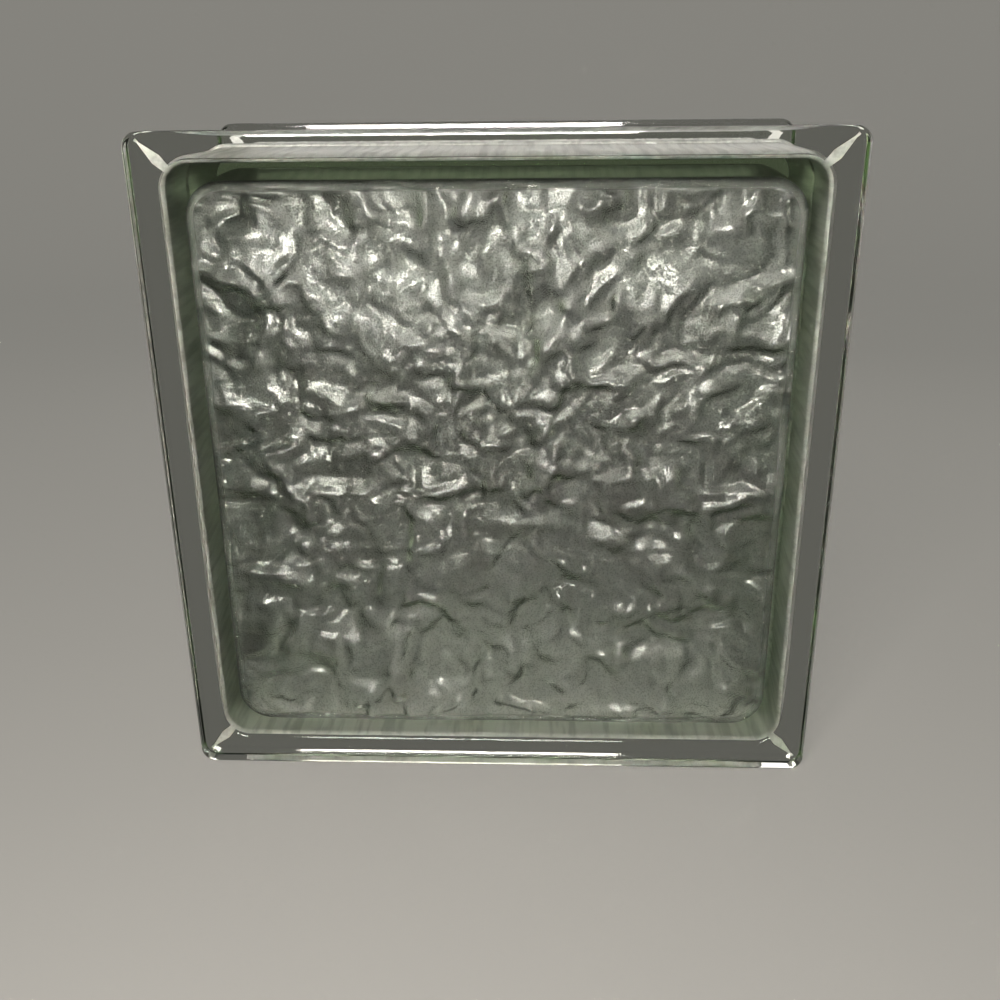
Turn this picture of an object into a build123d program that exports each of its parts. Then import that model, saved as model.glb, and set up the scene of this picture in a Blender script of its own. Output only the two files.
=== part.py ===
from build123d import *
import os
from math import radians, tan

# Hollow glass block: two pressed trays of glass, fused rim to rim round one sealed cavity.
# Millimetres. X runs across the width, Y from the front face to the back face, Z is up.
# The origin is in the middle of the underside, where the two rims stand on the bed.

# Overall size of the block
block_width = 196.85
block_height = 196.85
block_depth = 98.43

# Face plate of each tray, and the rim that stands proud of the walls and keys into the mortar
face_thickness = 9.0
rim_edge_thickness = 6.0
rim_overhang = 8.5
rim_corner_radius = 4.5
rim_front_rounding = 1.2
rim_back_rounding = 1.4
mitre_rounding = 2.0

# Side walls, which flare towards the seam so that the tray leaves its mould
wall_root_thickness = 4.7
wall_flare = 5.0
wall_corner_radius = 7.0
groove_fillet = 3.0

# Sealed cavity, opened out towards the seam by the draft of the plunger
cavity_draft = 3.0
cavity_corner_radius = 10.0
cavity_floor_fillet = 3.0

# Fused seam: a low bead of glass pressed out of the joint, outside and inside
seam_bead_width = 3.6
seam_bead_outer_height = 0.9
seam_bead_inner_height = 0.8
seam_bead_chamfer = 0.6

# Sizes that follow from the ones above
tray_depth = block_depth / 2
wall_depth = tray_depth - face_thickness
wall_spread = wall_depth * tan(radians(wall_flare))
cavity_inset = rim_overhang + wall_root_thickness
cavity_spread = wall_depth * tan(radians(cavity_draft))
shoulder_run = rim_overhang + wall_root_thickness / 2
shoulder_rise = shoulder_run * (face_thickness - rim_edge_thickness) / rim_overhang


def outline(inset, corner_radius, level):
    """Rounded outline of the block, drawn in from its outer edges, at a level of the tray."""
    shape = RectangleRounded(block_width - 2 * inset, block_height - 2 * inset, corner_radius)
    return Pos(0, 0, level) * shape


def drafted_block(inset, corner_radius, start, angle):
    """Solid from a level of the tray up to the seam, with sides that open out at an angle.

    Its outline has the given inset where it passes the back of the face plate.
    """
    straight = extrude(outline(inset, corner_radius, start), tray_depth - start)
    sides = straight.faces().filter_by(Plane.XY, reverse=True)
    return draft(sides, Plane.XY.offset(face_thickness), -angle)


def face_plate():
    """Square plate with a rim that thickens inwards, its four flat shoulders met in mitres."""
    blank = extrude(Rectangle(block_width, block_height), rim_edge_thickness + shoulder_rise)
    back = blank.faces().sort_by(Axis.Z)[-1]
    blank = chamfer(back.edges(), shoulder_run, shoulder_rise, reference=back)
    plate = blank & extrude(outline(0, rim_corner_radius, 0), tray_depth)
    low, high = rim_edge_thickness, rim_edge_thickness + shoulder_rise
    middle = rim_edge_thickness + shoulder_rise / 4
    mitres = plate.edges().filter_by_position(Axis.Z, middle, high, inclusive=(False, False))
    plate = fillet(mitres, mitre_rounding)
    rim_back = plate.edges().filter_by_position(Axis.Z, low, middle)
    plate = fillet(rim_back, rim_back_rounding)
    rim_front = plate.edges().filter_by_position(Axis.Z, 0, 0)
    return fillet(rim_front, rim_front_rounding)


def pressed_tray():
    """One half of the block, lying on its face: plate, rim and walls, open at the top."""
    plate = face_plate()
    walls = drafted_block(rim_overhang, wall_corner_radius, rim_edge_thickness, wall_flare)
    body = plate + walls
    body = fillet(new_edges(plate, walls, combined=body), groove_fillet)
    cavity = drafted_block(cavity_inset, cavity_corner_radius, face_thickness, cavity_draft)
    floor = cavity.edges().filter_by_position(Axis.Z, face_thickness, face_thickness)
    return body - fillet(floor, cavity_floor_fillet)


def seam_bead():
    """Band of glass along the fused joint, a little proud of the walls on both sides."""
    start = tray_depth - seam_bead_width / 2
    outer_inset = rim_overhang - wall_spread - seam_bead_outer_height
    inner_inset = cavity_inset - cavity_spread + seam_bead_inner_height
    outer = outline(outer_inset, wall_corner_radius + rim_overhang - outer_inset, start)
    inner = outline(inner_inset, cavity_corner_radius + cavity_inset - inner_inset, start)
    band = extrude(outer - inner, seam_bead_width)
    ends = band.faces().filter_by(Plane.XY)
    return chamfer(ends.edges(), seam_bead_chamfer)


# A tray lies on its face with its depth along local Z, and is stood up with its face to the front.
standing = Plane(origin=(0, -block_depth / 2, block_height / 2), x_dir=(1, 0, 0), z_dir=(0, 1, 0))
front_tray = standing.location * pressed_tray()
back_tray = mirror(front_tray, Plane.XZ)
glass_block = front_tray + back_tray + standing.location * seam_bead()
glass_block.label = "glass_block"

os.makedirs("parts", exist_ok=True)
export_step(glass_block, "parts/glass_block.step")
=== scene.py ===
import math

import bmesh
import bpy
import numpy as np
from bpy.props import FloatProperty, FloatVectorProperty, IntProperty, PointerProperty
from mathutils import Euler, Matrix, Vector


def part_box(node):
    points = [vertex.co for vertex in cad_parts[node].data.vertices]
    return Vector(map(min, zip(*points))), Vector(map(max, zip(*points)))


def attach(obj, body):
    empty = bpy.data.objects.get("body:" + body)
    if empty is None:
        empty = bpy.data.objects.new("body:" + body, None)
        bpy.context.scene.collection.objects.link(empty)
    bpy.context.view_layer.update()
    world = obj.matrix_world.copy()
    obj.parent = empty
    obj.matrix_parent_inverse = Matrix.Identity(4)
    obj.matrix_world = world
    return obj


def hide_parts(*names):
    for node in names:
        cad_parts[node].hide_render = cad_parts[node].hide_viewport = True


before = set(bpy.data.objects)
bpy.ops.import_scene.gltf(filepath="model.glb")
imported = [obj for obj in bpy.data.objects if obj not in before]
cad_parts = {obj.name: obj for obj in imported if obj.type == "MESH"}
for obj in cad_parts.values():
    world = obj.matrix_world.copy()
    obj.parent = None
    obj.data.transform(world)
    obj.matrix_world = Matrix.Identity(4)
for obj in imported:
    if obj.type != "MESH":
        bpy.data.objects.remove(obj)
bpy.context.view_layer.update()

bl_info = {
    "name": "Hollow Glass Block",
    "version": (1, 0, 0),
    "blender": (4, 5, 0),
    "location": "View3D > Sidebar > Glass Block",
    "description": "Square hollow glass block with a crumpled-ice relief inside both faces",
    "category": "Object",
}

MM = 0.001
WHITE = (1.0, 1.0, 1.0, 1.0)

# Steps of the mesh, round its rounded edges and along its sides.
OUTER_ARC = 6
OUTER_STRAIGHT = 20
CAVITY_ARC = 10
RIM_STEPS = 7
FILLET_STEPS = 9
OUTER_BEAD_STEPS = 6
CAVITY_BEAD_STEPS = 4

# Loops that hold a flat side flat beside a rounded edge, and where the walls' finish starts.
FACE_MARGIN = 0.5 * MM
EDGE_MARGIN = 0.3 * MM
COATING_MARGIN = 0.6 * MM
SMALLEST_CORNER = 1.3 * MM

# Relief: its share on the cavity's fillet, the back's own layout, and how its facets lie.
FADE_LOOPS = FILLET_STEPS + 1
BACK_LAYOUT = 40
SPREAD = 1.3
SPREAD_REACH = 95 * MM
SPREAD_CENTRE = 10 * MM
STEEPEST = 1.6
BOWL = 0.55
WARP = 1.5
HEIGHT_LIMIT = 0.62

# Finish of the glass and of the walls' outside.
RIM_DRAW = 0.03
GLASS_IOR = 1.52
PIP_IOR = 2.2
PIP_ROUGHNESS = 0.22
PIP_SPAN = (0.50, 0.64)
# Darker pips in the relief's base colour are painted shade between the sparkles of the grain; the grain's
# bump is real.
PIP_SHADE_SPAN = (0.38, 0.62)
PIP_SHADE_DARKEST = 0.35
MARK_DETAIL = 2.0
DRAW_STRETCH = 0.03
COATING_ROUGHNESS = 0.32
COATING_DARKEST = 0.72
COATING_SPAN = (0.36, 0.56)

# Floor, lamps, world and camera, in metres and degrees.
FLOOR_ROUGHNESS = 0.9
FLOOR_EVEN_SHARE = 0.5
FLOOR_RADIUS = 1.0
FLOOR_BEND = 0.4
FLOOR_GAP = 0.2 * MM
FLOOR_RINGS = 4
FLOOR_SIDES = 96
BEND_STEP = 6
BACKDROP_HEIGHT = 1.1
LAMP_TARGET = (0.0, 0.0, 0.10)
LAMP_COLOUR = (1.0, 0.94, 0.92)
LAMPS = (
    ("overhead_softbox", (0.0, -0.15, 0.95), (0.8, 0.4), "top_lamp"),
    ("front_softbox", (-0.045, -0.42, 0.243), (0.24, 0.095), "front_lamp"),
    ("back_softbox", (0.03, 0.45, 0.30), (0.46, 0.14), "back_lamp"),
    ("left_softbox", (-0.75, 0.05, 0.22), (0.30, 0.30), "side_lamps"),
    ("right_softbox", (0.75, 0.05, 0.22), (0.30, 0.30), "side_lamps"),
)
WORLD_COLOUR = (0.95, 0.97, 1.0, 1.0)
WORLD_LEVEL = 0.05
CAMERA_PLACE = (0.0134, -0.3333, 0.2038)
CAMERA_TURN = (68.80, 0.56, 2.22)
SENSOR_WIDTH = 36.0

LOW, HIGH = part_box("glass_block")
SIZE = HIGH - LOW


class GlassBlockSizes(bpy.types.PropertyGroup):
    """Sizes of the pressed glass inside the solid block's box."""

    face_thickness: FloatProperty(
        name="Face thickness", description="Mean thickness of each face plate",
        default=9.0 * MM, unit="LENGTH", subtype="DISTANCE")
    rim_edge: FloatProperty(
        name="Rim edge", description="Thickness of the rim at its outer edge",
        default=8.7 * MM, unit="LENGTH", subtype="DISTANCE")
    rim_overhang: FloatProperty(
        name="Rim overhang", description="How far the rim stands out past the foot of the walls",
        default=8.5 * MM, unit="LENGTH", subtype="DISTANCE")
    rim_corner: FloatProperty(
        name="Rim corner", description="Radius of the rim's corners, seen from the front",
        default=4.5 * MM, unit="LENGTH", subtype="DISTANCE")
    front_rounding: FloatProperty(
        name="Front rounding", description="Rounding between the face and the rim",
        default=1.2 * MM, unit="LENGTH", subtype="DISTANCE")
    back_rounding: FloatProperty(
        name="Back rounding", description="Rounding along the back of the rim",
        default=0.7 * MM, unit="LENGTH", subtype="DISTANCE")
    groove_fillet: FloatProperty(
        name="Groove fillet", description="Fillet where the walls stand on the face plate",
        default=3.0 * MM, unit="LENGTH", subtype="DISTANCE")
    wall_flare: FloatProperty(
        name="Wall flare", description="Slope of the walls' outside, which open out to the seam",
        default=math.radians(3.0), unit="ROTATION", subtype="ANGLE")
    wall_corner: FloatProperty(
        name="Wall corner", description="Corner radius of the walls at the face plate",
        default=7.0 * MM, unit="LENGTH", subtype="DISTANCE")
    wall_thickness: FloatProperty(
        name="Wall thickness", description="Thickness of the walls at the face plate",
        default=4.7 * MM, unit="LENGTH", subtype="DISTANCE")
    cavity_draft: FloatProperty(
        name="Cavity draft", description="Slope of the walls' inside",
        default=math.radians(3.0), unit="ROTATION", subtype="ANGLE")
    cavity_corner: FloatProperty(
        name="Cavity corner", description="Corner radius of the cavity at the face plate",
        default=10.0 * MM, unit="LENGTH", subtype="DISTANCE")
    cavity_fillet: FloatProperty(
        name="Cavity fillet", description="Fillet between the relief and the walls",
        default=3.0 * MM, unit="LENGTH", subtype="DISTANCE")
    seam_width: FloatProperty(
        name="Seam width", description="Width of the bead along the fused seam",
        default=3.6 * MM, unit="LENGTH", subtype="DISTANCE")
    seam_height: FloatProperty(
        name="Seam height", description="How far the bead stands out from the walls",
        default=0.9 * MM, unit="LENGTH", subtype="DISTANCE")


class GlassBlockRelief(bpy.types.PropertyGroup):
    """Crumpled-ice relief on the inside of both faces."""

    depth: FloatProperty(
        name="Depth", description="Height of the relief from its lowest to its highest parts",
        default=4.2 * MM, unit="LENGTH", subtype="DISTANCE")
    facet: FloatProperty(
        name="Facet size", description="Usual width of one facet of the relief",
        default=9.8 * MM, unit="LENGTH", subtype="DISTANCE")
    cells: IntProperty(
        name="Cells", description="Mesh cells across each face", default=168, min=40, max=190)
    seed: IntProperty(name="Seed", description="Which layout of facets is made", default=7, min=0)


class GlassBlockFinish(bpy.types.PropertyGroup):
    """Colour and finish of the glass."""

    tint: FloatVectorProperty(
        name="Tint", description="Colour that light takes as it crosses the glass",
        default=(0.71, 0.81, 0.63), size=3, min=0.0, max=1.0, subtype="COLOR")
    coating: FloatVectorProperty(
        name="Coating", description="Colour of the matt finish on the outside of the walls",
        default=(0.80, 0.81, 0.77), size=3, min=0.0, max=1.0, subtype="COLOR")
    density: FloatProperty(
        name="Density", description="How strongly a metre of glass takes that colour",
        default=30.0, min=0.0)
    grain: FloatProperty(
        name="Grain", description="Width of one pip of the fine grain on the relief",
        default=0.45 * MM, unit="LENGTH", subtype="DISTANCE")
    grain_depth: FloatProperty(
        name="Grain depth", description="Height of the fine grain on the relief",
        default=0.16 * MM, unit="LENGTH", subtype="DISTANCE")
    streak: FloatProperty(
        name="Streak", description="Width of one draw mark along the walls",
        default=2.4 * MM, unit="LENGTH", subtype="DISTANCE")
    streak_depth: FloatProperty(
        name="Streak depth", description="Height of the draw marks inside the walls",
        default=0.10 * MM, unit="LENGTH", subtype="DISTANCE")
    coating_depth: FloatProperty(
        name="Coating depth", description="Height of the draw marks in the matt finish",
        default=0.25 * MM, unit="LENGTH", subtype="DISTANCE")
    relief_roughness: FloatProperty(
        name="Relief roughness", description="Roughness of the relief, which the mould left matt",
        default=0.29, min=0.0, max=1.0, subtype="FACTOR")
    wall_roughness: FloatProperty(
        name="Wall roughness", description="Roughness of the drawn walls and the backs of the rims",
        default=0.10, min=0.0, max=1.0, subtype="FACTOR")


class GlassBlockStudio(bpy.types.PropertyGroup):
    """Floor, backdrop, lamps and camera."""

    floor: FloatVectorProperty(
        name="Floor", description="Colour of the floor and the backdrop",
        default=(0.312, 0.304, 0.276), size=3, min=0.0, max=1.0, subtype="COLOR")
    # Painted shade: glass shows the floor and the backdrop at this dim even level, well below the open
    # level, standing in for the block's own shadow behind it.
    through_glass_shade: FloatProperty(
        name="Seen through glass", description="Level at which glass shows the floor and the backdrop",
        default=0.38, min=0.0, max=1.0, subtype="FACTOR")
    open_level: FloatProperty(
        name="Open level", description="Level at which the camera sees the floor away from the lamps",
        default=1.35, min=0.0, max=3.0, subtype="FACTOR")
    lens: FloatProperty(
        name="Lens", description="Focal length of the camera",
        default=37.18, subtype="DISTANCE_CAMERA", unit="CAMERA")
    front_lamp: FloatProperty(
        name="Front lamp", description="Power of the small lamp beside the camera",
        default=3.5, min=0.0, subtype="POWER", unit="POWER")
    back_lamp: FloatProperty(
        name="Back lamp", description="Power of the wide lamp behind the block",
        default=0.36, min=0.0, subtype="POWER", unit="POWER")
    side_lamps: FloatProperty(
        name="Side lamps", description="Power of each lamp beside the block",
        default=0.6, min=0.0, subtype="POWER", unit="POWER")
    top_lamp: FloatProperty(
        name="Top lamp", description="Power of the large lamp overhead",
        default=0.2, min=0.0, subtype="POWER", unit="POWER")


def value_grid(seed, size=256):
    """Table of random gradients for smooth noise."""
    rng = np.random.default_rng(seed)
    angle = rng.uniform(0, 2 * math.pi, (size, size))
    return np.cos(angle), np.sin(angle)


def smooth_noise(x, y, seed):
    """Gradient noise of unit scale, about -0.7 to 0.7."""
    gx, gy = value_grid(seed)
    size = gx.shape[0]
    x0, y0 = np.floor(x).astype(int), np.floor(y).astype(int)
    fx, fy = x - x0, y - y0
    u, v = fx ** 3 * (fx * (fx * 6 - 15) + 10), fy ** 3 * (fy * (fy * 6 - 15) + 10)

    def corner(i, j):
        a, b = (x0 + i) % size, (y0 + j) % size
        return gx[a, b] * (fx - i) + gy[a, b] * (fy - j)

    low = corner(0, 0) * (1 - u) + corner(1, 0) * u
    high = corner(0, 1) * (1 - u) + corner(1, 1) * u
    return low * (1 - v) + high * v


def facet_planes(x, y, seed, tilt, lift):
    """Upper envelope of randomly tilted facets, one to each cell of unit size."""
    rng = np.random.default_rng(seed)
    size = 64
    jx, jy = rng.uniform(0.1, 0.9, (size, size)), rng.uniform(0.1, 0.9, (size, size))
    steepest = STEEPEST * tilt
    tx, ty = (np.clip(rng.normal(0, tilt, (size, size)), -steepest, steepest) for _ in range(2))
    up = rng.normal(0, lift, (size, size))
    cx, cy = np.floor(x).astype(int), np.floor(y).astype(int)
    best = np.full(x.shape, -1e9)
    for i in range(-2, 3):
        for j in range(-2, 3):
            a, b = (cx + i) % size, (cy + j) % size
            dx, dy = x - (cx + i + jx[a, b]), y - (cy + j + jy[a, b])
            plane = up[a, b] + tx[a, b] * dx + ty[a, b] * dy - BOWL * (dx * dx + dy * dy)
            best = np.maximum(best, plane)
    return best


def crumpled_ice(x, z, facet, seed):
    """Height of the relief at points on a face, in the range of about -0.5 to 0.5.

    Places are measured in facets, which grow away from the middle, and slow and quick noise bends them.
    Facets of three sizes and two nets of folds are then added up. Each has its own scale, random layout
    and share of the height, and each size of facet its own tilt and lift.
    """
    reach = np.hypot(x, z - SPREAD_CENTRE) + 1e-6
    spread = SPREAD * SPREAD_REACH * np.log1p(reach / SPREAD_REACH) / reach / facet
    px, pz = x * spread + 31.7, (z - SPREAD_CENTRE) * spread + 17.3
    slow, quick = (px * 0.7, pz * 0.7), (px * 1.9, pz * 1.9)
    wx = 0.55 * smooth_noise(*slow, seed + 1) + 0.22 * smooth_noise(*quick, seed + 2)
    wz = 0.55 * smooth_noise(*slow, seed + 3) + 0.22 * smooth_noise(*quick, seed + 4)
    qx, qz = px + WARP * wx, pz + WARP * wz
    broad = facet_planes(qx, qz, seed + 5, 0.55, 0.30)
    small = facet_planes(qx * 2.1 + 9.0, qz * 2.1 + 4.0, seed + 6, 0.55, 0.25)
    fold = 0.5 - np.abs(smooth_noise(qx * 0.8, qz * 0.8, seed + 7)) * 1.6
    vein = 0.5 - np.abs(smooth_noise(qx * 1.7, qz * 1.7, seed + 8)) * 1.6
    fine = facet_planes(qx * 4.6 + 2.0, qz * 4.6 + 8.0, seed + 9, 0.60, 0.20)
    height = 0.60 * broad + 0.27 * small + 0.08 * fine + 0.42 * fold + 0.22 * vein
    height -= height.mean()
    low, high = np.percentile(height, (1, 99))
    return np.clip(height / (high - low), -HEIGHT_LIMIT, HEIGHT_LIMIT)


def rounded_loop(half_x, half_z, radius, arc, straight):
    """Points round a rounded rectangle, side by side, each side from the middle of one corner to the next.

    Each side has arc points in each half corner and straight points between them.
    """
    radius = min(radius, half_x - 1e-5, half_z - 1e-5)
    points = []
    for turn in range(4):
        across, along = (half_x, half_z) if turn % 2 == 0 else (half_z, half_x)
        run = across - radius
        side = []
        for k in range(arc):
            a = math.radians(225 + 45 * k / arc)
            side.append((-run + radius * math.cos(a), -(along - radius) + radius * math.sin(a)))
        for k in range(straight + 1):
            side.append((-run + 2 * run * k / straight, -along))
        for k in range(1, arc):
            a = math.radians(270 + 45 * k / arc)
            side.append((run + radius * math.cos(a), -(along - radius) + radius * math.sin(a)))
        c, s = round(math.cos(turn * math.pi / 2)), round(math.sin(turn * math.pi / 2))
        points += [(x * c - z * s, x * s + z * c) for x, z in side]
    return np.array(points)


def patch(loop, cells):
    """Grid of points that fills a loop of four equal sides."""
    ring = np.vstack([loop, loop[:1]])
    bottom, right = ring[0:cells + 1], ring[cells:2 * cells + 1]
    top, left = ring[2 * cells:3 * cells + 1][::-1], ring[3 * cells:4 * cells + 1][::-1]
    u = np.linspace(0, 1, cells + 1)[:, None, None]
    v = np.linspace(0, 1, cells + 1)[None, :, None]
    sides = (1 - v) * bottom[:, None] + v * top[:, None] + (1 - u) * left[None] + u * right[None]
    corners = (1 - u) * (1 - v) * bottom[0] + u * (1 - v) * bottom[-1]
    corners = corners + (1 - u) * v * top[0] + u * v * top[-1]
    return sides - corners


def patch_ring(cells):
    """Grid places along the edge of a patch, in the order of its loop."""
    n = cells
    return ([(i, 0) for i in range(n)] + [(n, j) for j in range(n)]
            + [(n - i, n) for i in range(n)] + [(0, n - j) for j in range(n)])


def arc_points(centre, radius, start, end, count):
    """Points of an arc in the plane of inset and depth, its angles in degrees."""
    return [(centre[0] + radius * math.cos(math.radians(start + (end - start) * k / count)),
             centre[1] + radius * math.sin(math.radians(start + (end - start) * k / count)))
            for k in range(count + 1)]


def seam_bead(edge, crest, height, reach, count):
    """Quarter round from a wall to the middle of the bead along the seam."""
    turns = [k / count * math.pi / 2 for k in range(count + 1)]
    return [(edge + height * math.sin(a), crest + reach * (1 - math.cos(a))) for a in turns]


def outer_section(s, half_depth):
    """Inset, depth and corner radius of the loops from the front face to the seam, outside."""
    slope = math.atan2(s.face_thickness - s.rim_edge, s.rim_overhang)
    flare = s.wall_flare
    section = [(s.front_rounding + FACE_MARGIN, 0.0)]
    section += arc_points((s.front_rounding, s.front_rounding), s.front_rounding, -90, -180, RIM_STEPS)
    section.append((0.0, s.front_rounding + EDGE_MARGIN))
    r = s.back_rounding
    turn = s.rim_edge - r * (1 - math.sin(slope)) / math.cos(slope)
    section.append((0.0, turn - EDGE_MARGIN))
    section += arc_points((r, turn), r, 180, 90 + math.degrees(slope), RIM_STEPS)
    f = s.groove_fillet
    n = np.array([-math.sin(slope), math.cos(slope)])
    m = np.array([-math.cos(flare), -math.sin(flare)])
    centre = np.array([s.rim_overhang, s.face_thickness])
    centre = centre + np.linalg.solve(np.array([n, m]), np.array([f, f]))
    start = centre - f * n
    last = np.array(section[-1])
    section += [tuple(last + (start - last) * t) for t in (0.08, 0.35, 0.65, 0.92)]
    first_turn, last_turn = (math.degrees(math.atan2(-v[1], -v[0])) for v in (n, m))
    section += arc_points(centre, f, first_turn, last_turn, FILLET_STEPS)
    crest = half_depth - s.seam_width / 2
    foot = section[-1]
    drop = (crest - foot[1]) * math.tan(flare)
    for t in (0.03, 0.25, 0.5, 0.75, 0.97):
        section.append((foot[0] - drop * t, foot[1] + (crest - foot[1]) * t))
    section += seam_bead(foot[0] - drop, crest, -s.seam_height, s.seam_width / 2, OUTER_BEAD_STEPS)
    loops = []
    for inset, depth in section:
        if depth < s.face_thickness * 0.98:
            radius = max(s.rim_corner - inset, SMALLEST_CORNER)
        else:
            radius = s.wall_corner + s.rim_overhang - inset
        loops.append([inset, depth, radius])
    behind = [loop[1] >= s.rim_edge and loop[0] > s.back_rounding for loop in loops]
    walls = [loop[1] >= s.face_thickness + COATING_MARGIN for loop in loops]
    first, coat = behind.index(True), walls.index(True)
    return loops, first, coat


def cavity_section(s, half_depth):
    """The same for the cavity, from the edge of the relief to the seam."""
    draft = s.cavity_draft
    inset = s.rim_overhang + s.wall_thickness
    f = s.cavity_fillet
    centre = (inset + f / math.cos(draft) - f * math.tan(draft), s.face_thickness + f)
    section = arc_points(centre, f, -90, -180 - math.degrees(draft), FILLET_STEPS)
    crest = half_depth - s.seam_width / 2
    foot = section[-1]
    drop = (crest - foot[1]) * math.tan(draft)
    for t in (0.04, 0.35, 0.7, 0.96):
        section.append((foot[0] - drop * t, foot[1] + (crest - foot[1]) * t))
    section += seam_bead(foot[0] - drop, crest, s.seam_height, s.seam_width / 2, CAVITY_BEAD_STEPS)
    return [[i, d, s.cavity_corner + inset - i] for i, d in section]


def world_points(loop, depth, front):
    """Points of a flat loop, stood up at a depth behind the front or the back face."""
    y = LOW.y + depth if front else HIGH.y - depth
    middle_x, middle_z = (LOW.x + HIGH.x) / 2, (LOW.z + HIGH.z) / 2
    return [(middle_x + x, y, middle_z + z) for x, z in loop]


def skin(mesh, rows):
    """Quads between loops of equal length, as one list for each pair of loops."""
    bands = []
    for a, b in zip(rows, rows[1:]):
        ring = range(len(a))
        bands.append([mesh.faces.new((a[i], a[i - 1], b[i - 1], b[i])) for i in ring])
    return bands


def lay_patch(mesh, grid, depth, front, ring, cells):
    """A grid of quads whose edge is a ring of vertices that is already there."""
    n = cells
    verts = [[None] * (n + 1) for _ in range(n + 1)]
    for (i, j), vert in zip(patch_ring(n), ring):
        verts[i][j] = vert
    for i in range(1, n):
        column = world_points(grid[i, 1:n], 0.0, front)
        for j, (x, y, z) in enumerate(column, 1):
            verts[i][j] = mesh.verts.new((x, y + (depth[i, j] if front else -depth[i, j]), z))
    for i in range(n):
        for j in range(n):
            mesh.faces.new((verts[i][j], verts[i + 1][j], verts[i + 1][j + 1], verts[i][j + 1]))
    return [vert for column in verts for vert in column]


def outer_skin(mesh, drawn, s):
    """Closed outside of the block: two flat faces, rims, shoulders, walls and seam bead."""
    half_depth = SIZE.y / 2
    loops, first_wall, first_coat = outer_section(s, half_depth)
    arc, straight = OUTER_ARC, OUTER_STRAIGHT
    cells = 2 * arc + straight
    rows = []
    for front in (True, False):
        side = []
        for inset, depth, radius in loops:
            outline = rounded_loop(SIZE.x / 2 - inset, SIZE.z / 2 - inset, radius, arc, straight)
            side.append([mesh.verts.new(p) for p in world_points(outline, depth, front)])
        if front:
            rows = side
            inset, _, radius = loops[0]
            edge = rounded_loop(SIZE.x / 2 - inset, SIZE.z / 2 - inset, radius, arc, straight)
            grid = patch(edge, cells)
        else:
            for vert in side[-1]:
                mesh.verts.remove(vert)
            rows += side[-2::-1]
        lay_patch(mesh, grid, np.zeros((cells + 1, cells + 1)), front, side[0], cells)
    bands = skin(mesh, rows)
    for row in rows[first_wall:len(rows) - first_wall]:
        for vert in row:
            vert[drawn] = RIM_DRAW
    for band in bands[first_coat:len(bands) - first_coat]:
        for face in band:
            face.material_index = 1
    rim_backs = bands[first_wall:first_coat] + bands[len(bands) - first_coat:len(bands) - first_wall]
    for band in rim_backs:
        for corner in range(0, 4 * cells, cells):
            for face in band[corner:corner + 2]:
                face.material_index = 1
    bmesh.ops.recalc_face_normals(mesh, faces=mesh.faces[:])


def cavity_skin(mesh, grained, drawn, s, relief):
    """Closed inside of the block: two faces in relief, and the drafted walls between them."""
    outside = set(mesh.faces)
    half_depth = SIZE.y / 2
    loops = cavity_section(s, half_depth)
    arc = CAVITY_ARC
    cells = relief.cells
    straight = cells - 2 * arc
    rows = []
    inset, _, radius = loops[0]
    grid = patch(rounded_loop(SIZE.x / 2 - inset, SIZE.z / 2 - inset, radius, arc, straight), cells)
    for front in (True, False):
        layout = relief.seed + (0 if front else BACK_LAYOUT)
        height = crumpled_ice(grid[..., 0], grid[..., 1], relief.facet, layout) * relief.depth
        edge = np.array([height[i, j] for i, j in patch_ring(cells)])
        side = []
        for k, (inset, depth, radius) in enumerate(loops):
            outline = rounded_loop(SIZE.x / 2 - inset, SIZE.z / 2 - inset, radius, arc, straight)
            fade = max(0.0, 1 - k / FADE_LOOPS)
            points = world_points(outline, depth, front)
            sign = 1 if front else -1
            lifts = sign * fade * edge
            side.append([mesh.verts.new((x, y + lift, z)) for (x, y, z), lift in zip(points, lifts)])
            for vert in side[-1]:
                vert[grained], vert[drawn] = fade, 1 - fade
        for vert in lay_patch(mesh, grid, height + s.face_thickness, front, side[0], cells):
            vert[grained] = 1.0
        if front:
            rows = side
        else:
            for vert in side[-1]:
                mesh.verts.remove(vert)
            rows += side[-2::-1]
    skin(mesh, rows)
    inside = [face for face in mesh.faces if face not in outside]
    bmesh.ops.recalc_face_normals(mesh, faces=inside)
    bmesh.ops.reverse_faces(mesh, faces=inside)


def block_mesh(sizes, relief):
    """Outside and cavity in one mesh, with masks for the grained relief and the drawn walls."""
    mesh = bmesh.new()
    grained = mesh.verts.layers.float.new("grained")
    drawn = mesh.verts.layers.float.new("drawn")
    outer_skin(mesh, drawn, sizes)
    cavity_skin(mesh, grained, drawn, sizes, relief)
    for face in mesh.faces:
        face.smooth = True
    whole = bpy.data.meshes.new("glass_block_body")
    mesh.to_mesh(whole)
    mesh.free()
    return whole


def attribute(nodes, name):
    """Output of a mask that the mesh carries on its points."""
    node = nodes.new("ShaderNodeAttribute")
    node.attribute_name = name
    return node.outputs["Fac"]


def noise(nodes, links, vector):
    """Output of plain noise over a place, one mark to each unit."""
    node = nodes.new("ShaderNodeTexNoise")
    node.inputs["Scale"].default_value = 1.0
    node.inputs["Detail"].default_value = MARK_DETAIL
    links.new(vector, node.inputs["Vector"])
    return node.outputs["Fac"]


def maths(nodes, links, operation, *values):
    """Output of a calculation with sockets and numbers."""
    node = nodes.new("ShaderNodeMath")
    node.operation = operation
    for entry, value in zip(node.inputs, values):
        if isinstance(value, float):
            entry.default_value = value
        else:
            links.new(value, entry)
    return node.outputs[0]


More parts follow.
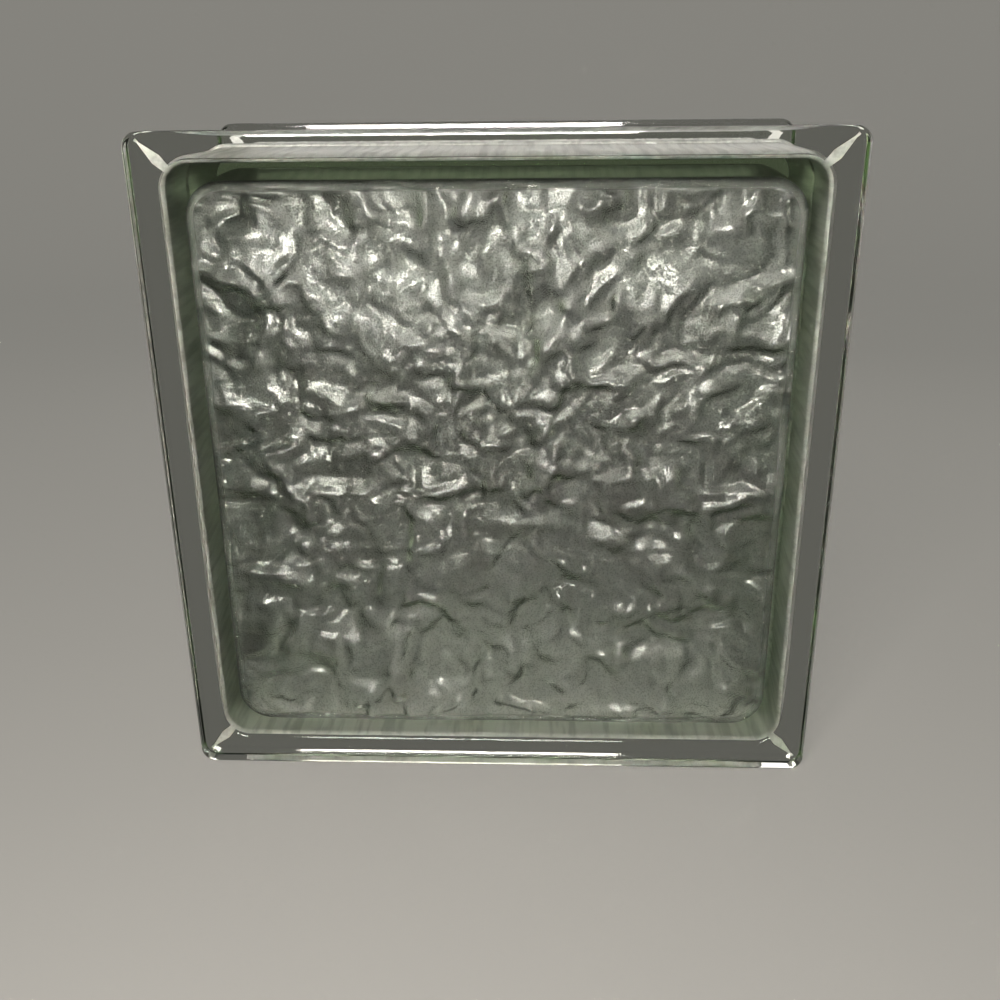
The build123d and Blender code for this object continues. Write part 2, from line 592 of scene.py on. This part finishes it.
def mark_group():
    """Node group of the marks that press and draw leave, as a plain mark and as a height."""
    name = "Press and Draw Marks"
    if name in bpy.data.node_groups:
        return bpy.data.node_groups[name]
    tree = bpy.data.node_groups.new(name, "ShaderNodeTree")
    tree.interface.new_socket(name="Marks per Metre", in_out="INPUT", socket_type="NodeSocketVector")
    tree.interface.new_socket(name="Depth", in_out="INPUT", socket_type="NodeSocketFloat")
    tree.interface.new_socket(name="Mark", in_out="OUTPUT", socket_type="NodeSocketFloat")
    tree.interface.new_socket(name="Height", in_out="OUTPUT", socket_type="NodeSocketFloat")
    nodes, links = tree.nodes, tree.links
    given, made = nodes.new("NodeGroupInput"), nodes.new("NodeGroupOutput")
    stretch = nodes.new("ShaderNodeVectorMath")
    stretch.operation = "MULTIPLY"
    links.new(nodes.new("ShaderNodeTexCoord").outputs["Object"], stretch.inputs[0])
    links.new(given.outputs["Marks per Metre"], stretch.inputs[1])
    mark = noise(nodes, links, stretch.outputs[0])
    level = maths(nodes, links, "SUBTRACT", mark, 0.5)
    links.new(mark, made.inputs["Mark"])
    links.new(maths(nodes, links, "MULTIPLY", level, given.outputs["Depth"]), made.inputs["Height"])
    return tree


def marks_node(nodes, per_metre, depth):
    """The group of marks placed in a material, with its own spacing along each axis and its own depth."""
    node = nodes.new("ShaderNodeGroup")
    node.node_tree = mark_group()
    node.inputs["Marks per Metre"].default_value = per_metre
    node.inputs["Depth"].default_value = depth
    return node


def draw_marks_per_metre(finish):
    """Spacing of draw marks, which run from face to face."""
    return 1 / finish.streak, DRAW_STRETCH / finish.streak, 1 / finish.streak


def lift_normal(nodes, links, height, shader):
    """Bump of a height in metres on a shader."""
    lift = nodes.new("ShaderNodeBump")
    lift.inputs["Strength"].default_value = 1.0
    lift.inputs["Distance"].default_value = 1.0
    links.new(height, lift.inputs["Height"])
    links.new(lift.outputs["Normal"], shader.inputs["Normal"])


def ramped(nodes, links, value, span, lowest=0.0):
    """Output of a value spread over a span, from the lowest level up to 1."""
    node = nodes.new("ShaderNodeMapRange")
    node.inputs["From Min"].default_value, node.inputs["From Max"].default_value = span
    node.inputs["To Min"].default_value = lowest
    links.new(value, node.inputs["Value"])
    return node.outputs["Result"]


def mixed(nodes, links, kind, factor, first, second):
    """Output of a mix of two colours or two vectors, each of them a socket or plain numbers."""
    node = nodes.new("ShaderNodeMix")
    node.data_type = kind
    links.new(factor, node.inputs["Factor"])
    pair = [entry for entry in node.inputs if entry.type == kind][-2:]
    for entry, value in zip(pair, (first, second)):
        if isinstance(value, tuple):
            entry.default_value = value
        else:
            links.new(value, entry)
    return next(out for out in node.outputs if out.type == kind)


def new_material(name):
    """Material with its nodes and links."""
    material = bpy.data.materials.new(name)
    material.use_nodes = True
    return material, material.node_tree.nodes, material.node_tree.links


def pressed_glass(finish):
    """Tinted glass, fire polished outside, stippled on the relief and lightly drawn inside the walls. The
    relief's base colour is darker on some pips of the grain: painted shade between the grain's sparkles.
    """
    material, nodes, links = new_material("Pressed Glass")
    glass = nodes["Principled BSDF"]
    glass.inputs["Transmission Weight"].default_value = 1.0
    glass.inputs["IOR"].default_value = GLASS_IOR
    glass.inputs["Coat Roughness"].default_value = PIP_ROUGHNESS
    glass.inputs["Coat IOR"].default_value = PIP_IOR
    body = nodes.new("ShaderNodeVolumeAbsorption")
    body.inputs["Color"].default_value = (*finish.tint, 1.0)
    body.inputs["Density"].default_value = finish.density
    links.new(body.outputs["Volume"], nodes["Material Output"].inputs["Volume"])
    grained, drawn = attribute(nodes, "grained"), attribute(nodes, "drawn")
    group = marks_node(nodes, (0.0, 0.0, 0.0), 0.0)
    spacing = mixed(nodes, links, "VECTOR", drawn, (1 / finish.grain,) * 3, draw_marks_per_metre(finish))
    links.new(spacing, group.inputs["Marks per Metre"])
    depth = maths(nodes, links, "ADD",
                  maths(nodes, links, "MULTIPLY", grained, finish.grain_depth),
                  maths(nodes, links, "MULTIPLY", drawn, finish.streak_depth))
    links.new(depth, group.inputs["Depth"])
    lift_normal(nodes, links, group.outputs["Height"], glass)
    marks = group.outputs["Mark"]
    # Painted shade: the relief's base colour darkens on some pips of the grain, between their sparkles.
    pip_shade = ramped(nodes, links, marks, PIP_SHADE_SPAN, PIP_SHADE_DARKEST)
    colour = mixed(nodes, links, "RGBA", grained, WHITE, pip_shade)
    links.new(colour, glass.inputs["Base Color"])
    pips = maths(nodes, links, "MULTIPLY", grained, ramped(nodes, links, marks, PIP_SPAN))
    links.new(pips, glass.inputs["Coat Weight"])
    rough = maths(nodes, links, "ADD",
                  maths(nodes, links, "MULTIPLY", grained, finish.relief_roughness),
                  maths(nodes, links, "MULTIPLY", drawn, finish.wall_roughness))
    links.new(rough, glass.inputs["Roughness"])
    return material


def wall_coating(finish):
    """Pale matt finish on the outside of the walls, with draw marks that run from face to face."""
    material, nodes, links = new_material("Wall Coating")
    coat = nodes["Principled BSDF"]
    coat.inputs["Roughness"].default_value = COATING_ROUGHNESS
    group = marks_node(nodes, draw_marks_per_metre(finish), finish.coating_depth)
    ramp = nodes.new("ShaderNodeValToRGB")
    for stop, position, share in zip(ramp.color_ramp.elements, COATING_SPAN, (COATING_DARKEST, 1.0)):
        stop.position = position
        stop.color = (*(share * value for value in finish.coating), 1.0)
    links.new(group.outputs["Mark"], ramp.inputs["Fac"])
    links.new(ramp.outputs["Color"], coat.inputs["Base Color"])
    lift_normal(nodes, links, group.outputs["Height"], coat)
    return material


def floor_material(studio):
    """Matt floor that keeps the block's shadow, and that glass shows at a dimmer even level: a painted
    shade that stands in for the block's shadow behind it.
    """
    material, nodes, links = new_material("Studio Floor")
    matt = nodes["Principled BSDF"]
    matt.inputs["Base Color"].default_value = (*studio.floor, 1.0)
    matt.inputs["Roughness"].default_value = FLOOR_ROUGHNESS
    rays = nodes.new("ShaderNodeLightPath").outputs
    # Camera rays see the floor at the open level; glass sees it at the dimmer level, a painted shade of
    # the block's shadow.
    brightness = maths(nodes, links, "MULTIPLY_ADD", rays["Is Camera Ray"],
                       studio.open_level - studio.through_glass_shade, studio.through_glass_shade)
    even = nodes.new("ShaderNodeEmission")
    even.inputs["Color"].default_value = (*studio.floor, 1.0)
    links.new(brightness, even.inputs["Strength"])
    bent = maths(nodes, links, "MAXIMUM", rays["Is Transmission Ray"], rays["Is Glossy Ray"])
    share = maths(nodes, links, "MULTIPLY_ADD", rays["Is Camera Ray"], FLOOR_EVEN_SHARE, bent)
    mix = nodes.new("ShaderNodeMixShader")
    links.new(share, mix.inputs["Fac"])
    links.new(matt.outputs["BSDF"], mix.inputs[1])
    links.new(even.outputs["Emission"], mix.inputs[2])
    links.new(mix.outputs["Shader"], nodes["Material Output"].inputs["Surface"])
    return material


def studio_sweep(studio):
    """Round floor that bends up into a wall, a hair below the block so that its underside stays glass."""
    section = [(FLOOR_RADIUS * k / FLOOR_RINGS, -FLOOR_GAP) for k in range(1, FLOOR_RINGS + 1)]
    for a in range(BEND_STEP, 91, BEND_STEP):
        out, up = math.sin(math.radians(a)), 1 - math.cos(math.radians(a))
        section.append((FLOOR_RADIUS + FLOOR_BEND * out, FLOOR_BEND * up - FLOOR_GAP))
    section.append((FLOOR_RADIUS + FLOOR_BEND, BACKDROP_HEIGHT))
    turns = [math.radians(360 * k / FLOOR_SIDES) for k in range(FLOOR_SIDES)]
    mesh = bmesh.new()
    rings = [[mesh.verts.new((r * math.cos(a), r * math.sin(a), z)) for a in turns] for r, z in section]
    mesh.faces.new(rings[0])
    for inner, outer in zip(rings, rings[1:]):
        for k in range(FLOOR_SIDES):
            mesh.faces.new((inner[k - 1], inner[k], outer[k], outer[k - 1])).smooth = True
    bmesh.ops.recalc_face_normals(mesh, faces=mesh.faces[:])
    sheet = bpy.data.meshes.new("studio_sweep")
    mesh.to_mesh(sheet)
    mesh.free()
    sheet.materials.append(floor_material(studio))
    return bpy.data.objects.new("studio_sweep", sheet)


def studio_lamp(name, place, size, power):
    """Rectangular area lamp that faces the block and isn't seen by the camera."""
    light = bpy.data.lights.new(name, "AREA")
    light.shape = "RECTANGLE"
    light.size, light.size_y = size
    light.energy = power
    light.color = LAMP_COLOUR
    holder = bpy.data.objects.new(name, light)
    holder.location = place
    holder.rotation_euler = (Vector(LAMP_TARGET) - Vector(place)).to_track_quat("-Z", "Y").to_euler()
    holder.visible_camera = False
    return holder


def studio_world():
    """Dim even light from all round."""
    world = bpy.data.worlds.new("Studio World")
    world.use_nodes = True
    light = world.node_tree.nodes["Background"]
    light.inputs["Color"].default_value = WORLD_COLOUR
    light.inputs["Strength"].default_value = WORLD_LEVEL
    return world


def studio_camera(studio):
    """Camera at the photo's viewing angle."""
    camera = bpy.data.cameras.new("view_camera")
    camera.lens = studio.lens
    camera.sensor_width = SENSOR_WIDTH
    viewer = bpy.data.objects.new("view_camera", camera)
    viewer.location = CAMERA_PLACE
    viewer.rotation_euler = Euler([math.radians(a) for a in CAMERA_TURN])
    return viewer


class GLASSBLOCK_OT_block(bpy.types.Operator):
    """Build the block: outside, cavity with its relief, and the finishes of its glass and its walls"""

    bl_idname = "glassblock.block"
    bl_label = "Glass Block"

    def execute(self, context):
        scene = context.scene
        sizes, finish = scene.glass_sizes, scene.glass_finish
        if sizes.rim_overhang + sizes.wall_thickness + sizes.cavity_corner > min(SIZE.x, SIZE.z) / 2:
            raise ValueError("the rims and walls leave no room for the cavity")
        mesh = block_mesh(sizes, scene.glass_relief)
        mesh.materials.append(pressed_glass(finish))
        mesh.materials.append(wall_coating(finish))
        block = bpy.data.objects.new("hollow_glass_block", mesh)
        scene.collection.objects.link(block)
        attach(block, "root")
        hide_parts("glass_block")
        return {"FINISHED"}


class GLASSBLOCK_OT_stage(bpy.types.Operator):
    """Build the floor with its curved backdrop, the lamps and the camera"""

    bl_idname = "glassblock.stage"
    bl_label = "Floor, Lamps and Camera"

    def execute(self, context):
        scene = context.scene
        studio = scene.glass_studio
        sweep, viewer = studio_sweep(studio), studio_camera(studio)
        scene.collection.objects.link(sweep)
        for name, place, size, power in LAMPS:
            scene.collection.objects.link(studio_lamp(name, place, size, getattr(studio, power)))
        scene.world = studio_world()
        scene.collection.objects.link(viewer)
        scene.camera = viewer
        scene.view_settings.view_transform = "Standard"
        scene.cycles.caustics_refractive = True
        scene.cycles.caustics_reflective = False
        scene.cycles.sample_clamp_indirect = 0.0
        scene.cycles.max_bounces = 8
        scene.cycles.blur_glossy = 0.0
        scene.cycles.adaptive_threshold = 0.03
        scene.cycles.diffuse_bounces = 1
        return {"FINISHED"}


class GLASSBLOCK_PT_sidebar(bpy.types.Panel):
    """Sizes, relief, finish and studio of the glass block"""

    bl_idname = "GLASSBLOCK_PT_sidebar"
    bl_label = "Glass Block"
    bl_space_type = "VIEW_3D"
    bl_region_type = "UI"
    bl_category = "Glass Block"

    def draw(self, context):
        scene = context.scene
        layout = self.layout
        for title, group, operators in SECTIONS:
            box = layout.box()
            box.label(text=title)
            values = getattr(scene, group)
            for key in values.__annotations__:
                box.prop(values, key)
            for operator in operators:
                box.operator(operator)


SECTIONS = (
    ("Sizes", "glass_sizes", ()),
    ("Relief", "glass_relief", ()),
    ("Finish", "glass_finish", ("glassblock.block",)),
    ("Studio", "glass_studio", ("glassblock.stage",)),
)
GROUPS = {
    "glass_sizes": GlassBlockSizes,
    "glass_relief": GlassBlockRelief,
    "glass_finish": GlassBlockFinish,
    "glass_studio": GlassBlockStudio,
}
CLASSES = (*GROUPS.values(), GLASSBLOCK_OT_block, GLASSBLOCK_OT_stage, GLASSBLOCK_PT_sidebar)


def register():
    """Register the classes, and hang their sizes and colours on the scene."""
    for cls in CLASSES:
        bpy.utils.register_class(cls)
    for name, cls in GROUPS.items():
        setattr(bpy.types.Scene, name, PointerProperty(type=cls))


def unregister():
    """Undo what register did."""
    for name in GROUPS:
        delattr(bpy.types.Scene, name)
    for cls in reversed(CLASSES):
        bpy.utils.unregister_class(cls)


def main():
    """Build the stage and the block."""
    register()
    bpy.ops.glassblock.stage()
    bpy.ops.glassblock.block()


if __name__ == "__main__":
    main()
